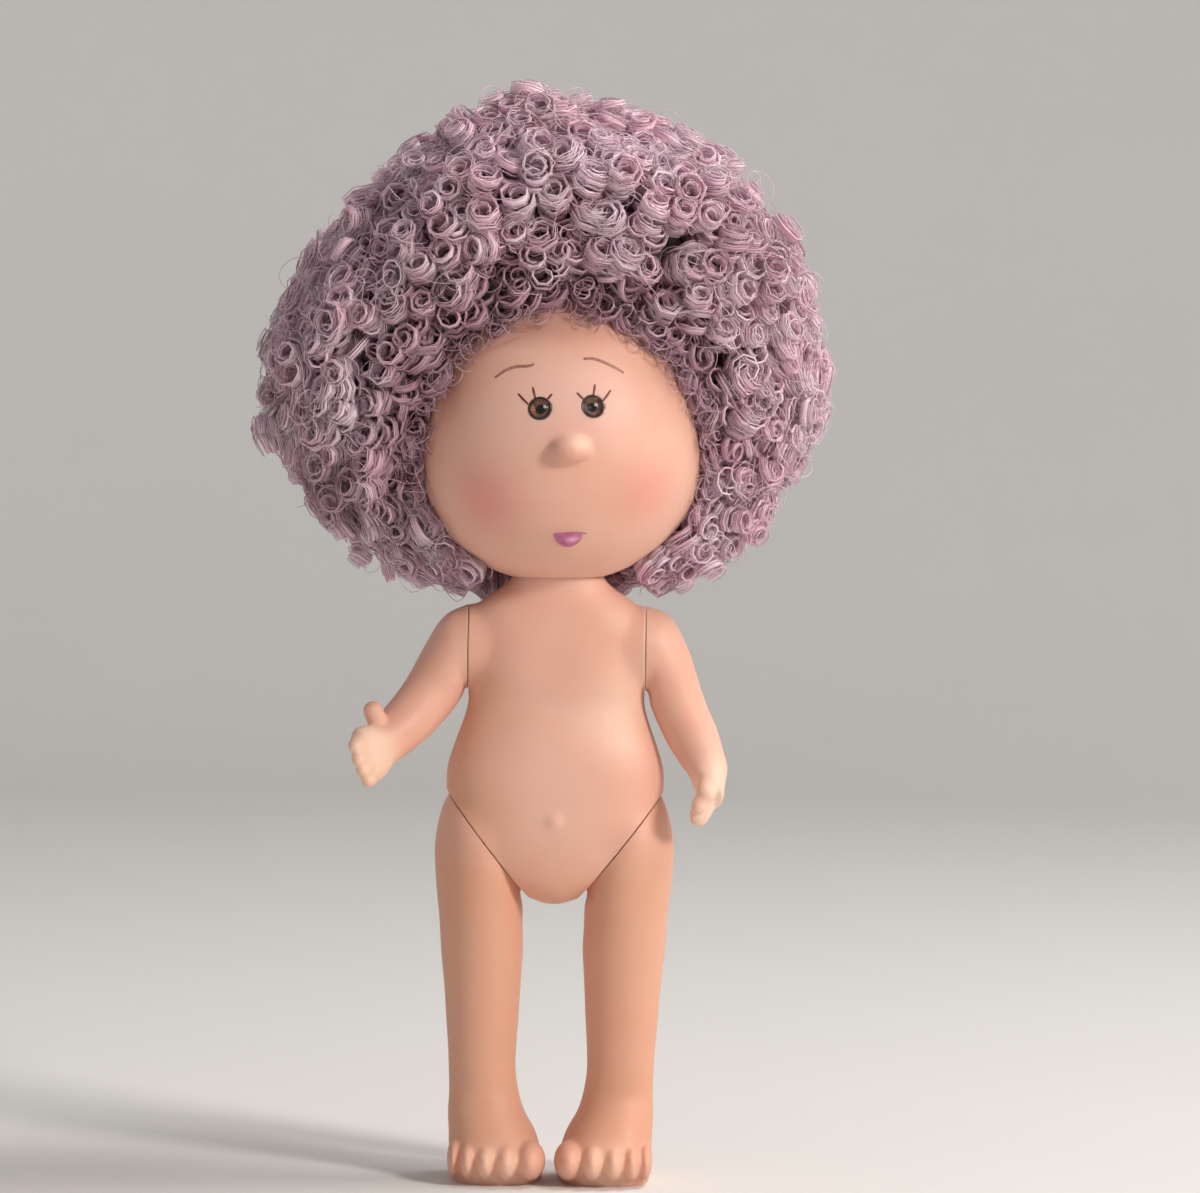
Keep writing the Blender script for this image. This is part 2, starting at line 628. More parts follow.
# Legs
legs = {
    "hipRadius": 16.4, "hipLean": 38, "thighDepth": 33, "gap": 0.3, "footWidth": 26, "footLength": 38,
    "heelBack": 16, "toeHeight": 10, "toeWidths": (0.267, 0.228, 0.21, 0.17, 0.125),
    "toeReaches": (0.96, 1, 0.985, 0.92, 0.8), "toeHalfWidth": 0.61, "toeLength": 0.45,
    "toeMiddle": 0.34, "toeHalfHeight": 0.54, "rootReach": 3, "shinDrop": 45,
    "leg": [
        (0, 0, 1, 1, 1, 1), (0.042, 0.08, 0.83, 0.985, 1.02, 1.05), (0.107, 0.11, 0.55, 0.91, 0.98, 1.06),
        (0.19, 0.095, 0.37, 0.81, 0.9, 0.99), (0.27, 0.055, 0.2, 0.73, 0.83, 0.9),
        (0.355, 0.035, 0, 0.68, 0.76, 0.81), (0.44, 0.025, 0, 0.64, 0.7, 0.76),
        (0.525, 0.02, 0, 0.61, 0.64, 0.75), (0.615, 0.015, 0, 0.575, 0.58, 0.72),
        (0.68, 0.01, 0, 0.565, 0.575, 0.7),
    ],
    "foot": [
        (0.745, 0.015, 0.74, 0.42, 0.8, 2), (0.8, 0.04, 0.81, 0.53, 0.87, 2.1),
        (0.855, 0.1, 0.91, 0.67, 0.94, 2.2), (0.91, 0.135, 0.97, 0.84, 0.99, 2.3),
        (0.965, 0.155, 1, 0.75, 1, 2.5), (1.01, 0.155, 0.94, 0.62, 0.93, 2.5),
    ],
    "sides": 64, "steps": 4, "voxel": 0.5, "passes": 15,
    "palePatch": (15, 0.2, 0.3, "pale"), "tanPatch": (60, 0.6, 0.65, "tan"),
}


def makeLeg(values, name, side):
    bm = bmesh.new()
    height = hipHeight / mm
    axis = hipAxis(1)
    stations = []
    for down, out, lean, wide, ahead, behind in values["leg"]:
        stations.append({
            "at": Vector((out * values["hipRadius"], 0, -down * height)) * mm,
            "facing": Vector((lean / math.tan(math.radians(values["hipLean"])), 0, -1)).normalized(),
            "wide": wide * values["hipRadius"] * mm, "front": ahead * values["thighDepth"] * mm / 2,
            "back": behind * values["thighDepth"] * mm / 2, "outline": 2, "roll": 0,
        })
    stations[0]["at"] = axis * values["gap"] * mm
    ahead = values["footLength"] - values["heelBack"]
    for down, inwards, wide, front, back, outline in values["foot"]:
        stations.append({
            "at": Vector((-inwards * values["footWidth"], 0, -down * height)) * mm, "facing": -up,
            "wide": wide * values["footWidth"] * mm / 2, "front": front * ahead * mm,
            "back": back * values["heelBack"] * mm, "outline": outline, "roll": 0,
        })
    across = axis.cross(Vector((0, 1, 0)))
    frames = framedStations(smoothStations(stations, values["steps"]), across)
    root = {**frames[0], "at": frames[0]["at"] - axis * values["rootReach"] * mm}
    sweepShell(bm, [root] + frames, values["sides"])
    sole = stations[-2]["at"]
    edge = sole.x / mm - values["footWidth"] / 2
    length = ahead * values["toeLength"]
    for share, reach in zip(values["toeWidths"], values["toeReaches"]):
        width = share * values["footWidth"]
        middle = sole.z / mm + values["toeHeight"] * values["toeMiddle"]
        place = Vector((edge + width / 2, length - ahead * reach, middle))
        size = (width * values["toeHalfWidth"], length, values["toeHeight"] * values["toeHalfHeight"])
        ballShell(bm, Matrix.Translation(place * mm) @ Matrix.Diagonal((*[s * mm for s in size], 1)))
        edge += width
    place = joints["hip_" + name]
    bmesh.ops.scale(bm, vec=(side, 1, 1), verts=bm.verts)
    bmesh.ops.translate(bm, vec=place, verts=bm.verts)
    made = mouldedSkin("legSkin_" + name, bm, values["voxel"], values["passes"])
    outward = hipAxis(side)
    cutFlat(made, [(place + outward * values["gap"] * mm, -outward, None), (Vector((0, 0, 0)), -up, None)])
    smoothShading(made)
    toePlace = place + Vector((sole.x * side, -ahead * mm, sole.z))
    shin = place + Vector((0, 0, -values["shinDrop"])) * mm
    patches = [spot(shin, *values["tanPatch"]), spot(toePlace, *values["palePatch"])]
    vinyl = skinMaterial("legVinyl_" + name, patches)
    return finishPiece(made, "leg_" + name, "skin_vinyl", vinyl, ["leg_" + name])


makeLeg(legs, "left", 1)
makeLeg(legs, "right", -1)
print("legs made")

# Head
head = {
    "halfWidth": 39.2, "front": 36, "back": 38, "up": 52, "down": 33.4, "forward": 2, "rise": 29.5,
    "yaw": 4.5, "roll": -3, "neckRadius": 13.1, "neckSeat": 0.3,
    "noseAcross": 0.5, "noseWidth": 11.4, "noseHeight": 7.8, "noseReach": 5, "noseRise": 3.2,
    "eyeSpread": 14.3, "eyeRise": 14.6, "eyeRadius": 3.1, "eyeFit": 0.12, "socketDepth": 2.8,
    "voxel": 0.65, "passes": 3, "softReach": 8.5, "softPasses": 3, "sides": 96, "socketSides": 64,
    # Each patch of paint: across, up, its width, height and depth, core, amount and tone
    "paint": [(0, 16, 30, 17, 20, 0.1, 0.55, "brow"), (-3, 37, 30, 9, 16, 0.1, 0.55, "root"),
              (27, 25, 8, 13, 16, 0.1, 0.4, "root"), (-29, 22, 6, 15, 16, 0.1, 0.5, "root"),
              (-22.5, -8.5, 17, 17, 16, 0.05, 0.62, "blush"), (22.5, -8.5, 17, 17, 16, 0.05, 0.5, "blush"),
              (2.1, 4.4, 5, 4.2, 9, 0.1, 0.6, "pale")],
}
headMatrix = (Matrix.Translation(neckPlace + Vector((0, -head["forward"], head["rise"])) * mm)
              @ Matrix.Rotation(math.radians(head["yaw"]), 4, "Z")
              @ Matrix.Rotation(math.radians(head["roll"]), 4, "Y"))


# The place on the front of the head, across and up from its middle, and the way that it faces there.
def faceAt(across, rise):
    height = head["up"] if rise > 0 else head["down"]
    left = 1 - (across / head["halfWidth"]) ** 2 - (rise / height) ** 2
    place = Vector((across, -head["front"] * math.sqrt(left), rise))
    facing = Vector((place.x / head["halfWidth"] ** 2, place.y / head["front"] ** 2, place.z / height ** 2))
    return place, facing.normalized()


# A matrix in the scene for something on the face: Z out of the face, X across it.
def faceMatrix(across, rise, sink=0):
    place, facing = faceAt(across, rise)
    x = up.cross(facing).normalized()
    turn = Matrix((x, facing.cross(x), facing)).transposed().to_4x4()
    return headMatrix @ Matrix.Translation((place - facing * sink) * mm) @ turn


def ovalMatrix(across, rise, wide, tall, deep):
    return faceMatrix(across, rise) @ Matrix.Diagonal((wide * mm, tall * mm, deep * mm, 1))


def makeHead(values):
    bm = bmesh.new()
    sides = values["sides"]
    for vert in bmesh.ops.create_uvsphere(bm, u_segments=sides, v_segments=sides * 5 // 8, radius=1)["verts"]:
        depth = values["front"] if vert.co.y < 0 else values["back"]
        size = (values["halfWidth"], depth, values["up"] if vert.co.z > 0 else values["down"])
        vert.co = Vector(a * b for a, b in zip(vert.co, size)) * mm
    nosePlace = faceAt(values["noseAcross"], values["noseRise"])[0] * mm
    size = (values["noseWidth"] / 2, values["noseReach"], values["noseHeight"] / 2)
    ballShell(bm, Matrix.Translation(nosePlace) @ Matrix.Diagonal((*[s * mm for s in size], 1)))
    bmesh.ops.transform(bm, matrix=headMatrix, verts=bm.verts)
    made = mouldedSkin("headSkin", bm, values["voxel"], values["passes"])
    softenNear(made, headMatrix @ nosePlace, values["softReach"], values["softPasses"])
    cutter = bmesh.new()
    for side in (1, -1):
        place = faceMatrix(side * values["eyeSpread"] / 2, values["eyeRise"], values["socketDepth"])
        rodShell(cutter, place, (values["eyeRadius"] + values["eyeFit"]) * mm, 2 * values["socketDepth"] * mm,
                 values["socketSides"])
    seat = neckPlace + up * values["neckSeat"] * mm
    rodShell(cutter, aimedMatrix(seat, -up), values["neckRadius"] * mm, values["down"] * mm, sides)
    tool = meshObject("cutter", cutter)
    carve = made.modifiers.new("carve", "BOOLEAN")
    carve.operation = "DIFFERENCE"
    carve.solver = "EXACT"
    carve.object = tool
    bakeModifiers(made)
    bpy.data.objects.remove(tool)
    smoothShading(made)
    patches = [(ovalMatrix(*place), core, amount, skin[tone]) for *place, core, amount, tone in values["paint"]]
    return finishPiece(made, "head", "skin_vinyl", skinMaterial("faceVinyl", patches), ["head"])


headSkin = makeHead(head)
print("head made:", len(headSkin.data.polygons), "faces")

# The mouth, a half moon moulded and painted on the face: its upper edge is flat, its lower edge round
mouth = {
    "across": -0.4, "rise": -21.1, "halfWidth": 3.9, "drop": 4.9, "upper": 0.35, "shift": 2.4, "reach": 0.95,
    "sink": 0.12, "depth": 0.48, "segments": (40, 24), "tones": ((0.43, 0.11, 0.21, 1), (0.53, 0.165, 0.33, 1)),
    "wash": (420, 3), "washRange": (0.35, 0.7, 0, 1), "roughness": (0.3, 0.7, 0.28, 0.42),
    "shinePlace": (0.6, -20.4, 2.9, 1.7, 4), "shineCore": 0.1, "shine": (0.78, 0.34, 0.56, 1),
}


def makeMouth(values):
    bm = bmesh.new()
    around, rings = values["segments"]
    bmesh.ops.create_uvsphere(bm, u_segments=around, v_segments=rings, radius=1)
    for vert in bm.verts:
        tall = values["upper"] if vert.co.y > 0 else values["drop"]
        reach = values["reach"] if vert.co.z > 0 else values["depth"]
        x, y, z = vert.co
        vert.co = Vector((x * values["halfWidth"], y * tall + values["shift"], z * reach)) * mm
    bmesh.ops.transform(bm, matrix=faceMatrix(values["across"], values["rise"], values["sink"]), verts=bm.verts)
    made = meshObject("mouthPaint", bm)
    smoothShading(made)
    shine = [(ovalMatrix(*values["shinePlace"]), values["shineCore"], 1, values["shine"])]
    lips = washedMaterial("lipPaint", values, shine, Specular_IOR_Level=0.5, Coat_Weight=0.3)
    finishPiece(made, "head", "skin_vinyl", lips)


makeMouth(mouth)

# Painted brows and lashes, each a thin raised stroke
paint = {
    "rise": 0.1, "sink": 0.35, "steps": 5, "sides": 12, "tipShare": 0.72, "lighter": 1.5,
    "wash": (900, 3), "washRange": (0.35, 0.7, 0, 1), "roughness": (0.3, 0.7, 0.35, 0.5),
    "brow": {"colour": (0.31, 0.135, 0.095, 1), "wide": 0.46},
    "lash": {"colour": (0.13, 0.024, 0.017, 1), "wide": 0.33},
    "crease": {"colour": (0.40, 0.11, 0.16, 1), "wide": 0.3},
}
strokes = [
    ("browRight", "brow", [(-18.4, 23.3), (-15.3, 25.2), (-12.6, 26.0), (-9.7, 26.0), (-7.9, 26.5)]),
    ("browLeft", "brow", [(5.4, 27.4), (8.1, 27.3), (10.6, 26.4), (13.4, 25.0), (16.1, 23.3)]),
    ("mouthCrease", "crease", [(-4.1, -19.5), (-1.5, -19.25), (1.2, -19.25), (4.6, -19.4)]),
    ("lashRight1", "lash", [(-12.6, 18.7), (-11.5, 17.3), (-10.1, 15.8)]),
    ("lashRight2", "lash", [(-8.7, 20.3), (-8.5, 19.2), (-8.2, 17.4)]),
    ("lashRight3", "lash", [(-3.7, 18.3), (-4.3, 17.6), (-5.2, 16.8)]),
    ("lashLeft1", "lash", [(3.0, 18.4), (3.8, 17.5), (4.7, 16.5)]),
    ("lashLeft2", "lash", [(8.0, 20.4), (7.8, 19.3), (7.4, 17.5)]),
    ("lashLeft3", "lash", [(12.2, 18.7), (11.2, 17.4), (9.9, 15.9)]),
]


def strokeMaterial(kind):
    colour = paint[kind]["colour"]
    lighter = [c * paint["lighter"] for c in colour[:3]] + [1]
    return washedMaterial(kind + "Paint", {**paint, "tones": (colour, lighter)}, Specular_IOR_Level=0.5)


strokePaints = {kind: strokeMaterial(kind) for kind in ("brow", "lash", "crease")}


def makeStroke(name, kind, corners):
    bm = bmesh.new()
    points = [Vector((*corner, 0)) for corner in corners]
    count = paint["steps"] * (len(points) - 1)
    track = [between(points, i / count) for i in range(count + 1)]
    places = [faceAt(p.x, p.y) for p in track]
    stations = []
    for i, (place, facing) in enumerate(places):
        before = places[max(i - 1, 0)][0]
        after = places[min(i + 1, count)][0]
        along = (after - before).normalized()
        taper = paint["tipShare"] + (1 - paint["tipShare"]) * math.sin(math.pi * i / count)
        stations.append({
            "at": place * mm, "facing": along, "across": along.cross(facing).normalized(),
            "ahead": facing, "wide": paint[kind]["wide"] * taper * mm, "front": paint["rise"] * mm,
            "back": paint["sink"] * mm, "outline": 2,
        })
    sweepShell(bm, stations, paint["sides"])
    bmesh.ops.recalc_face_normals(bm, faces=bm.faces)
    bmesh.ops.transform(bm, matrix=headMatrix, verts=bm.verts)
    made = meshObject(name, bm)
    smoothShading(made)
    finishPiece(made, "head", "eye_plastic", strokePaints[kind])


for stroke in strokes:
    makeStroke(*stroke)
print("face painted")

# Eyes: a dark cup, a painted iris and a clear dome
eyes = {
    "radius": 3.1, "rim": 0.42, "rimTop": 0.12, "bevel": 0.15, "rimRound": 0.18, "depth": 2.6, "back": 0.7,
    "fit": 0.06, "irisThick": 0.4, "irisDip": (0.1, 0.24, 0.26), "domeGap": 0.06, "domeHeight": 1.1, "domeStep": 10,
    "pupil": 0.40, "steps": 56,
    "iris": (0.10, 0.05, 0.028, 1), "irisLight": (0.40, 0.20, 0.10, 1), "black": (0.004, 0.003, 0.003, 1),
    "rays": (9, 3, 0.6), "rayRange": (0.35, 0.65, 0, 1), "rimRange": (0.8, 1.0, 0, 0.6), "pupilFade": 0.07,
    "roughness": (0.3, 0.7, 0.3, 0.42), "spark": (1, 1, 1, 1), "sparkPlace": (0.42, 0.24, 0), "sparkFade": (0.1, 0.2),
    "cup": {"wash": (700, 3), "tones": ((0.012, 0.004, 0.005, 1), (0.04, 0.012, 0.014, 1)),
            "roughness": (0.3, 0.7, 0.2, 0.32)},
    "dome": {"wash": (400, 2), "tones": ((1, 1, 1, 1), (0.97, 0.975, 0.98, 1)),
             "roughness": (0.3, 0.7, 0.01, 0.03)},
}
cupMaterial = washedMaterial("eyeCup", eyes["cup"], Specular_IOR_Level=0.6, Coat_Weight=0.4)
domeMaterial = washedMaterial("eyeDome", eyes["dome"], Transmission_Weight=1, IOR=1.22)


def spunPiece(name, profile, matrix, steps):
    bm = bmesh.new()
    verts = [bm.verts.new((radius * mm, 0, height * mm)) for radius, height in profile]
    edges = [bm.edges.new(pair) for pair in zip(verts, verts[1:])]
    bmesh.ops.spin(bm, geom=verts + edges, cent=(0, 0, 0), axis=(0, 0, 1), angle=2 * math.pi, steps=steps,
                   use_merge=True)
    bmesh.ops.remove_doubles(bm, verts=bm.verts, dist=1e-6)
    bmesh.ops.recalc_face_normals(bm, faces=bm.faces)
    bmesh.ops.transform(bm, matrix=matrix, verts=bm.verts)
    made = meshObject(name, bm)
    smoothShading(made)
    return made


def irisMaterial(name, matrix, radius):
    material, tree, shader = newMaterial(name, Specular_IOR_Level=0.2)
    disc = coordsAt(tree, matrix @ Matrix.Scale(radius * mm, 4))
    flat = vectorMath(tree, "MULTIPLY", disc, (1, 1, 0))
    length = vectorMath(tree, "LENGTH", flat)
    rays = noiseOf(tree, vectorMath(tree, "NORMALIZE", flat), *eyes["rays"])
    away = vectorMath(tree, "DISTANCE", flat, eyes["sparkPlace"])
    pupilRange = (eyes["pupil"], eyes["pupil"] + eyes["pupilFade"], 1, 0)
    colour = eyes["iris"]
    for value, band, tone in ((rays, eyes["rayRange"], "irisLight"), (length, eyes["rimRange"], "black"),
                              (length, pupilRange, "black"), (away, (*eyes["sparkFade"], 1, 0), "spark")):
        colour = mixColours(tree, rangeOf(tree, value, *band), colour, eyes[tone])
    feedAll(tree, shader, Base_Color=colour, Roughness=rangeOf(tree, rays, *eyes["roughness"]))
    return material


def makeEye(name, across, values):
    matrix = faceMatrix(across, head["eyeRise"])
    radius, rimTop, bevel, turned = (values[key] for key in ("radius", "rimTop", "bevel", "rimRound"))
    bore = radius - values["rim"]
    irisEdge = bore - values["fit"]
    floor = values["back"] - values["depth"]
    cup = [(0, -values["depth"]), (radius - bevel, -values["depth"]), (radius, -values["depth"] + bevel),
           (radius, rimTop - turned), (radius - turned / 3, rimTop - 0.04), (radius - turned, rimTop),
           (bore + 0.08, rimTop), (bore, rimTop - 0.1), (bore, floor), (0, floor)]
    top = floor + values["irisThick"]
    edgeDip, innerDip, middleDip = values["irisDip"]
    iris = [(0, floor + 0.02), (irisEdge, floor + 0.02), (irisEdge, top), (irisEdge * 0.7, top - edgeDip),
            (irisEdge * values["pupil"], top - innerDip), (0, top - middleDip)]
    base = top + values["domeGap"]
    dome = [(0, base), (irisEdge, base), (irisEdge, 0)]
    for angle in range(values["domeStep"], 90, values["domeStep"]):
        turn = math.radians(angle)
        dome.append((irisEdge * math.cos(turn), values["domeHeight"] * math.sin(turn)))
    dome.append((0, values["domeHeight"]))
    for piece, profile, slotName, material, node in (
            ("eyeCup_", cup, "eye_plastic", cupMaterial, "eye_cup_"),
            ("irisDisc_", iris, "iris_paint", irisMaterial("irisPaint_" + name, matrix, irisEdge), "iris_"),
            ("eyeDome_", dome, "eye_dome", domeMaterial, "eye_dome_")):
        made = spunPiece(piece + name, profile, matrix, values["steps"])
        finishPiece(made, "head", slotName, material, [node + name])


makeEye("left", head["eyeSpread"] / 2, eyes)
makeEye("right", -head["eyeSpread"] / 2, eyes)
print("eyes made")

# Hair
hair = {
    "halfWidth": 77, "halfDepth": 61, "up": 79, "down": 62, "shift": (-1.5, 14, 24), "scalpGap": 0.35,
    "hairlineAcross": 74, "hairlineUp": 68, "hairlineDrop": -10, "edgeShare": 0.3, "edgeFade": 0.25,
    "napeEdge": -52, "hairlineBand": (0.06, 9),
    "sections": [
        ("hair_low_left", 84, 132, -50, -8), ("hair_nape_left", 132, 180, -50, -8),
        ("hair_nape_right", 180, 228, -50, -8), ("hair_low_right", 228, 276, -50, -8),
        ("hair_side_left", 74, 127, -8, 26), ("hair_back_left", 127, 180, -8, 26),
        ("hair_back_right", 180, 233, -8, 26), ("hair_side_right", 233, 286, -8, 26),
        ("hair_temple_left", 61, 108, 26, 58), ("hair_upper_left", 108, 156, 26, 58),
        ("hair_upper_back", 156, 204, 26, 58), ("hair_upper_right", 204, 252, 26, 58),
        ("hair_temple_right", 252, 299, 26, 58), ("hair_fringe", -61, 61, 50, 90),
        ("hair_crown_left", 61, 180, 58, 90), ("hair_crown_right", 180, 299, 58, 90),
    ],
    "light": (1, 0.745, 0.865, 1), "middle": (0.94, 0.575, 0.705, 1), "dark": (0.32, 0.13, 0.18, 1),
    "dents": [((-0.57, 0, 0.82), 36, 10), ((0.8, -0.1, 0.6), 25, 4), ((-1, 0, 0.02), 14, 5.5),
              ((-0.97, 0, 0.24), 12, 5), ((-0.93, 0, -0.36), 20, 7),
              ((0.84, -0.1, -0.54), 21, -8), ((0.24, 0, 0.97), 19, 9)],
    "lumps": {"scale": 5.5, "shift": (3, 7, 1), "level": 0.15},
    "tufts": {"scale": 4.2, "shift": (1, 5, 9), "level": -0.08},
    # The kinds of curls, in the order in which they are laid
    "curls": [
        {"count": 1150, "turns": (3.0, 3.8), "radius": (3.6, 5.2), "length": (8.5, 12), "inset": (-3.2, 2.4),
         "lump": 6, "tuft": 9, "tilt": 0.35, "forward": 0.8, "shape": "lock", "fibres": 4},
        {"count": 620, "turns": (2.2, 2.8), "radius": (4.4, 5.6), "length": (9, 13), "inset": (7.5, 12),
         "lump": 5, "tilt": 0.5, "shape": "lock"},
        {"count": 3000, "turns": (2.6, 3.4), "radius": (3.0, 4.6), "length": (6, 9), "inset": (0, 1),
         "lump": 0, "tilt": 0.4, "band": (0.04, 0.26), "forward": 1.3, "shape": "lock"},
        {"count": 2000, "turns": (0.8, 1.5), "radius": (3.0, 5.6), "length": (6, 12), "inset": (-4, 2),
         "lump": 3, "tilt": 0.7, "shape": "fuzz"},
        {"count": 5200, "turns": (0.6, 1.3), "radius": (2.0, 4.2), "length": (5, 9), "inset": (0.2, 1),
         "lump": 0, "tilt": 0.8, "band": (-0.05, 0.12), "forward": 0.4, "shape": "fuzz"},
    ],
    "lock": {"steps": 25, "sides": 6, "wide": 1.35, "thick": 0.4, "strip": (1, 40)},
    "fibre": {"steps": 22, "sides": 3, "wide": 0.17, "thick": 0.17, "strip": (-40, -2)},
    "fuzz": {"steps": 18, "sides": 3, "wide": 0.13, "thick": 0.13, "strip": (-40, -2)},
    "besideLock": {"along": (0.75, 1.6), "out": (-0.3, 0.45), "around": (-0.4, 0.4)}, "strandLength": 40,
    "depthBand": (0.70, 0.90), "depthShade": 0.7, "bump": (0.4, 0.7), "seed": 11,
    "rollShare": 0.6, "rollHole": 0.36, "rootShare": 0.45, "rootGrowth": 2.2, "rollLift": 0.06,
    "mat": {"shade": 0.34, "share": 0.5, "gap": 0.17, "fade": 0.22, "napeFade": 12, "scale": 14, "lump": 2.5,
            "under": 0.93, "over": 0.95, "subdivisions": 6},
}


def scalpReach(direction):
    depth = (head["front"] if direction.y < 0 else head["back"]) + hair["scalpGap"]
    height = (head["up"] if direction.z > 0 else head["down"]) + hair["scalpGap"]
    half = head["halfWidth"] + hair["scalpGap"]
    return 1 / Vector((direction.x / half, direction.y / depth, direction.z / height)).length


def ballReach(direction):
    centre = Vector(hair["shift"])

    def leave(height):
        scale = Vector((1 / hair["halfWidth"], 1 / hair["halfDepth"], 1 / height))
        ray = direction * scale
        start = centre * scale
        along = ray.dot(start)
        return (along + math.sqrt(along ** 2 + ray.length_squared * (1 - start.length_squared))) / ray.length_squared

    upper = leave(hair["up"])
    return upper if upper * direction.z > centre.z else leave(hair["down"])


def anglesOf(direction):
    azimuth = math.degrees(math.atan2(direction.x, -direction.y))
    return azimuth, math.degrees(math.asin(max(-1, min(1, direction.z))))


# How far behind the hairline a direction lies: negative on the face
def pastHairline(azimuth, elevation):
    rise = max(0, elevation - hair["hairlineDrop"]) / hair["hairlineUp"]
    return math.hypot(azimuth / hair["hairlineAcross"], rise) - 1


def hairReach(direction):
    azimuth, elevation = anglesOf(direction)
    full = hair["edgeShare"] + pastHairline(azimuth, elevation) / hair["edgeFade"]
    full = max(hair["edgeShare"], min(1, full))
    return scalpReach(direction) + (ballReach(direction) - scalpReach(direction)) * full


def sectionOf(azimuth, elevation):
    best, name = 1e9, None
    for section, low, high, bottom, top in hair["sections"]:
        turned = azimuth if low < 0 else azimuth % 360
        off = max(low - turned, turned - high, 0) + max(bottom - elevation, elevation - top, 0)
        if off < best:
            best, name = off, section
    return name


# A tube whose vertices are laid along a curl again and again, by their shares of its length and round its sides
def lockTemplate(values):
    bm = bmesh.new()
    station = {"across": right, "ahead": Vector((0, 1, 0)), "wide": 1, "front": 1, "back": 1, "outline": 2}
    count = values["steps"] - 1
    sweepShell(bm, [{**station, "at": up * (i / count)} for i in range(values["steps"])], values["sides"])
    bmesh.ops.recalc_face_normals(bm, faces=bm.faces)
    uv = bm.loops.layers.uv.new("UVMap")
    for face in bm.faces:
        for loop in face.loops:
            loop[uv].uv = (loop.vert.co.z, (1 + loop.vert.co.x) / 2)
    mesh = bpy.data.meshes.new("lockTemplate")
    bm.to_mesh(mesh)
    bm.free()
    places = [(v.co.z, v.co.x, v.co.y) for v in mesh.vertices]
    uvs = [0.0] * (2 * len(mesh.loops))
    mesh.uv_layers["UVMap"].uv.foreach_get("vector", uvs)
    return {"mesh": mesh, "places": places, "uvs": uvs, **values}


templates = {key: lockTemplate(hair[key]) for key in ("lock", "fibre", "fuzz")}


# How far the ball of hair falls short at a direction: its dents, and its one swell as a negative depth
def dentAt(direction):
    depth = 0
    for toward, spread, most in hair["dents"]:
        off = math.degrees(direction.angle(Vector(toward))) / spread
        depth += most * max(0, 1 - off * off) ** 2
    return depth


def unevenAt(direction, values):
    return max(0, noise.noise(direction * values["scale"] + Vector(values["shift"])) + values["level"])


# One curl: its axis runs out from the scalp, it coils up to a tube and its tip rolls in to a ring
def curlAt(curl, share):
    roll = max(0, (share - hair["rollShare"]) / (1 - hair["rollShare"]))
    grow = min(1, hair["rootShare"] + share * hair["rootGrowth"])
    close = 1 - (1 - hair["rollHole"]) * roll ** 0.9
    around = curl["phase"] + curl["hand"] * 2 * math.pi * curl["turns"] * share
    along = curl["length"] * (min(1, share / hair["rollShare"]) - 1) + curl["length"] * hair["rollLift"] * roll
    return around, curl["radius"] * grow * close, along


def layLock(bm, template, curl, rng, shiftAlong=0, shiftOut=0, shiftAround=0):
    rings = {}
    flat = []
    last = template["steps"] - 1
    for share, wide, deep in template["places"]:
        key = round(share * last)
        if key not in rings:
            around, reach, along = curlAt(curl, share)
            taper = min(1, 0.35 + share * 5, 0.3 + (1 - share) * 6)  # thin at the root and at the tip
            spin = around + shiftAround
            out = curl["across"] * math.cos(spin) + curl["beside"] * math.sin(spin)
            middle = curl["place"] + curl["axis"] * (along + shiftAlong) + curl["droop"] * share ** 2
            rings[key] = (middle + out * (reach + shiftOut * taper), out * (template["thick"] * taper),
                          curl["axis"] * (template["wide"] * taper))
        centre, out, side = rings[key]
        flat.extend((centre + side * wide + out * deep) * mm)
    mesh = template["mesh"]
    mesh.vertices.foreach_set("co", flat)
    shiftU, shiftV = rng.uniform(0, hair["strandLength"]), rng.uniform(*template["strip"])
    uvs = template["uvs"]
    laid = [value * curl["turns"] + shiftU if i % 2 == 0 else value * template["wide"] + shiftV
            for i, value in enumerate(uvs)]
    mesh.uv_layers["UVMap"].uv.foreach_set("vector", laid)
    bm.from_mesh(mesh)


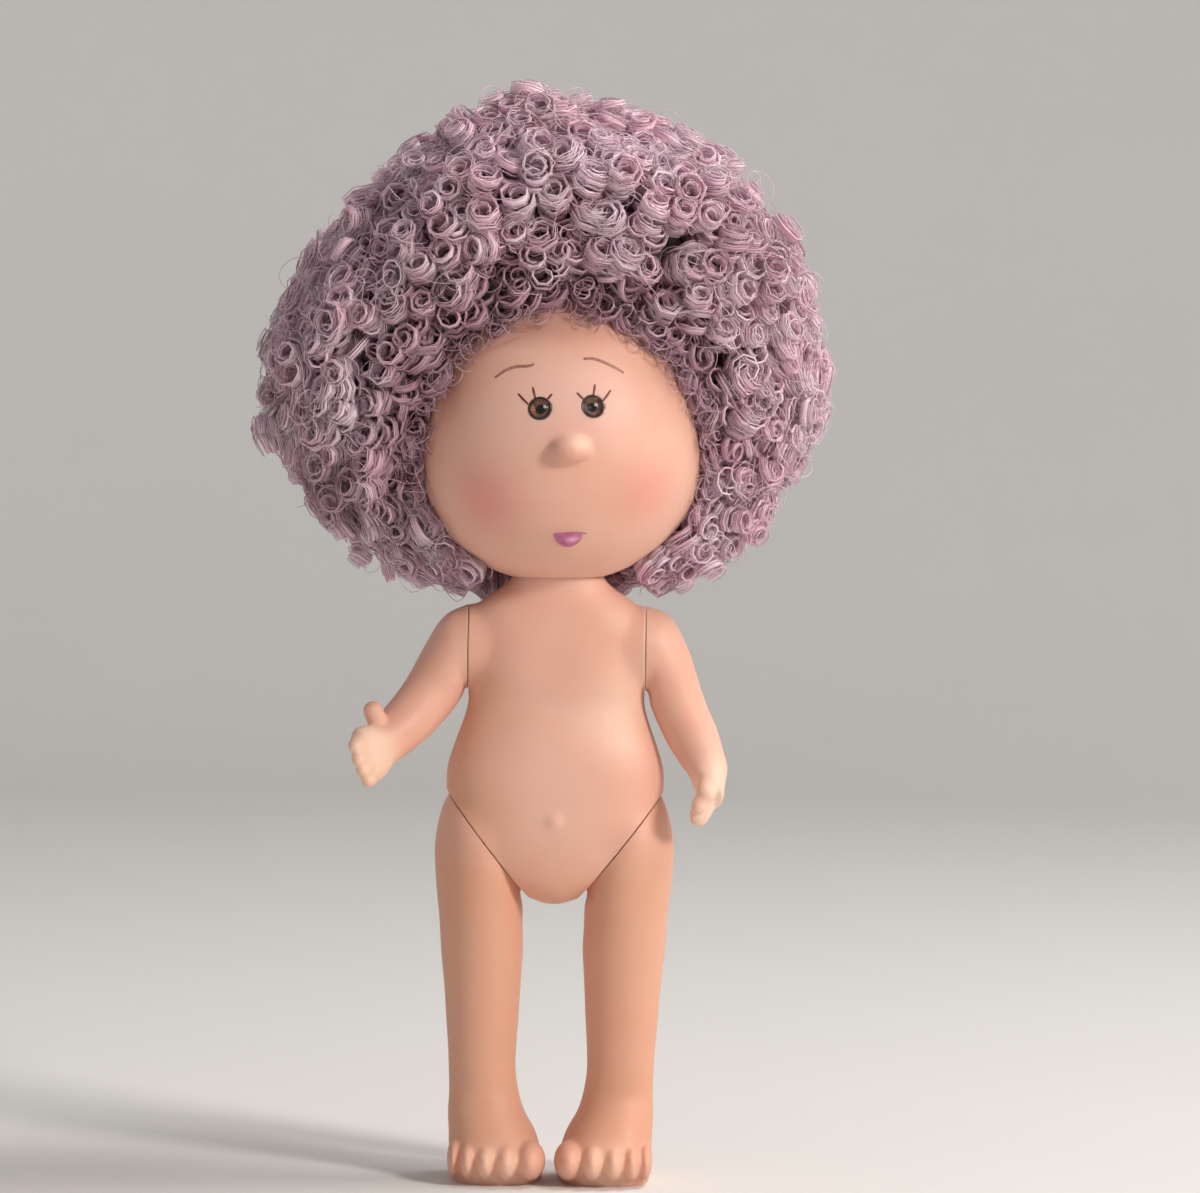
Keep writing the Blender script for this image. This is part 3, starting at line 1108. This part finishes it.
def curlsOf(values, rng):
    centre = Vector(hair["shift"])
    count = values["count"]
    for i in range(count):
        rise = 1 - (2 * i + 1) / count
        turn = i * math.pi * (3 - math.sqrt(5)) + rng.uniform(-0.05, 0.05)
        level = math.sqrt(1 - rise * rise)
        outward = Vector((level * math.cos(turn), level * math.sin(turn), rise))
        height = hair["up"] if rise > 0 else hair["down"]
        surface = Vector((outward.x * hair["halfWidth"], outward.y * hair["halfDepth"], outward.z * height))
        direction = (centre + surface).normalized()
        azimuth, elevation = anglesOf(direction)
        curl = {key: rng.uniform(*values[key]) for key in ("length", "radius", "turns")}
        inset = rng.uniform(*values["inset"])
        tilt = Vector((rng.gauss(0, 1), rng.gauss(0, 1), rng.gauss(0, 1)))
        curl["hand"] = rng.choice((-1, 1))
        curl["phase"] = rng.uniform(0, 2 * math.pi)
        curl["droop"] = up * -rng.uniform(0.3, 1.8)
        nearest, farthest = values.get("band", hair["hairlineBand"])
        if not nearest < pastHairline(azimuth, elevation) < farthest or elevation < hair["napeEdge"]:
            continue
        lump = values["lump"] * unevenAt(direction, hair["lumps"])
        lump -= values.get("tuft", 0) * unevenAt(direction, hair["tufts"])
        lump += dentAt(direction)
        scalp = scalpReach(direction)
        if "band" in values:
            inset *= hairReach(direction) - scalp
        tip = max(hairReach(direction) - inset - lump - curl["radius"] * 0.3, scalp + curl["radius"] * 0.9)
        ahead = Vector((0, -values.get("forward", 0) * max(0, min(1, 0.75 - direction.y)), 0))
        curl["axis"] = (direction * 0.9 + outward * 0.4 + ahead + tilt * values["tilt"] - up * 0.1).normalized()
        curl["across"] = curl["axis"].orthogonal().normalized()
        curl["beside"] = curl["axis"].cross(curl["across"])
        curl["length"] = min(curl["length"], max(4, (tip - scalp) * 1.1))
        curl["place"] = direction * tip
        yield sectionOf(azimuth, elevation), curl


def hairMaterial(name, shade, gaps):
    material, tree, shader = newMaterial(
        name, Specular_IOR_Level=0.6, Subsurface_Weight=0.4, Subsurface_Scale=0.003,
        Subsurface_Radius=(1, 0.8, 0.9), Sheen_Weight=0.2, Sheen_Roughness=0.35, Sheen_Tint=(0.95, 0.76, 0.86, 1))
    tones = {key.title(): tuple(c * shade for c in hair[key][:3]) + (1,) for key in ("light", "middle", "dark")}
    # How deep in the ball of hair a place lies: nothing near its outside, most at the scalp
    ball = headMatrix @ Matrix.Translation(Vector(hair["shift"]) * mm)
    size = Vector((hair["halfWidth"], hair["halfDepth"], hair["up"])) * mm
    reach = vectorMath(tree, "LENGTH", coordsAt(tree, ball @ Matrix.Diagonal((*size, 1))))
    depth = rangeOf(tree, reach, *hair["depthBand"], hair["depthShade"], 0)
    fibre = placeGroup(tree, "fibre", Depth=depth, **tones).outputs
    feedAll(tree, shader, Base_Color=fibre["Color"], Roughness=fibre["Roughness"],
            Normal=bumpFrom(tree, fibre["Height"], *hair["bump"]))
    if gaps:
        feedAll(tree, shader, Alpha=fibre["Alpha"])
    return material


curlFibre = hairMaterial("curlFibre", 1, True)


def makeHair():
    rng = random.Random(hair["seed"])
    pieces = {section[0]: bmesh.new() for section in hair["sections"]}
    edge, beside = hair["lock"]["wide"], hair["besideLock"]
    for values in hair["curls"]:
        for section, curl in curlsOf(values, rng):
            layLock(pieces[section], templates[values["shape"]], curl, rng)
            for k in range(values.get("fibres", 0)):
                side = 1 - 2 * (k % 2)
                layLock(pieces[section], templates["fibre"], curl, rng, side * edge * rng.uniform(*beside["along"]),
                        rng.uniform(*beside["out"]), rng.uniform(*beside["around"]))
    total = 0
    for section, bm in pieces.items():
        bmesh.ops.transform(bm, matrix=headMatrix, verts=bm.verts)
        made = meshObject(section.replace("hair", "curls"), bm)
        smoothShading(made)
        finishPiece(made, "head", "hair_fibre", curlFibre, [section])
        total += len(made.data.polygons)
    print("hair made:", total, "faces")


makeHair()


# The dense hair near the scalp, under the curls
def makeMat(values):
    bm = bmesh.new()
    bmesh.ops.create_icosphere(bm, subdivisions=values["subdivisions"], radius=1)
    for vert in bm.verts:
        direction = vert.co.normalized()
        azimuth, elevation = anglesOf(direction)
        past = pastHairline(azimuth, elevation)
        scalp = scalpReach(direction)
        if elevation < hair["napeEdge"] or past < values["gap"]:
            vert.co = direction * scalp * values["under"] * mm
            continue
        full = min(1, max(0, past - values["gap"]) / values["fade"],
                   (elevation - hair["napeEdge"]) / values["napeFade"])
        lump = noise.noise(direction * values["scale"]) * values["lump"]
        rise = scalp * (1 - values["over"]) + (ballReach(direction) - scalp) * values["share"] + lump
        vert.co = direction * (scalp * values["over"] + rise * full) * mm
    bmesh.ops.transform(bm, matrix=headMatrix, verts=bm.verts)
    made = meshObject("hairMat", bm)
    smoothShading(made)
    finishPiece(made, "head", "hair_fibre", hairMaterial("hairMat", values["shade"], False))


makeMat(hair["mat"])
print("scalp made")


# Floor and backdrop
def makeStage(values):
    bm = bmesh.new()
    radius, cove = values["floorRadius"], values["coveRadius"]
    profile = [(0, 0), (radius - cove, 0)]
    for i in range(1, values["coveSteps"] + 1):
        angle = math.pi / 2 * i / values["coveSteps"]
        profile.append((radius - cove + cove * math.sin(angle), cove - cove * math.cos(angle)))
    profile.append((radius, values["wallHeight"]))
    verts = [bm.verts.new((r, 0, z)) for r, z in profile]
    edges = [bm.edges.new(pair) for pair in zip(verts, verts[1:])]
    bmesh.ops.spin(bm, geom=verts + edges, cent=(0, 0, 0), axis=(0, 0, 1), angle=2 * math.pi,
                   steps=values["segments"], use_merge=True)
    bmesh.ops.remove_doubles(bm, verts=bm.verts, dist=1e-6)
    made = meshObject("studioFloor", bm)
    smoothShading(made)
    paper = washedMaterial("studioPaper", values, Roughness=0.9, Specular_IOR_Level=0.1)
    made.data.materials.append(paper)


makeStage(stage)
print("stage made")
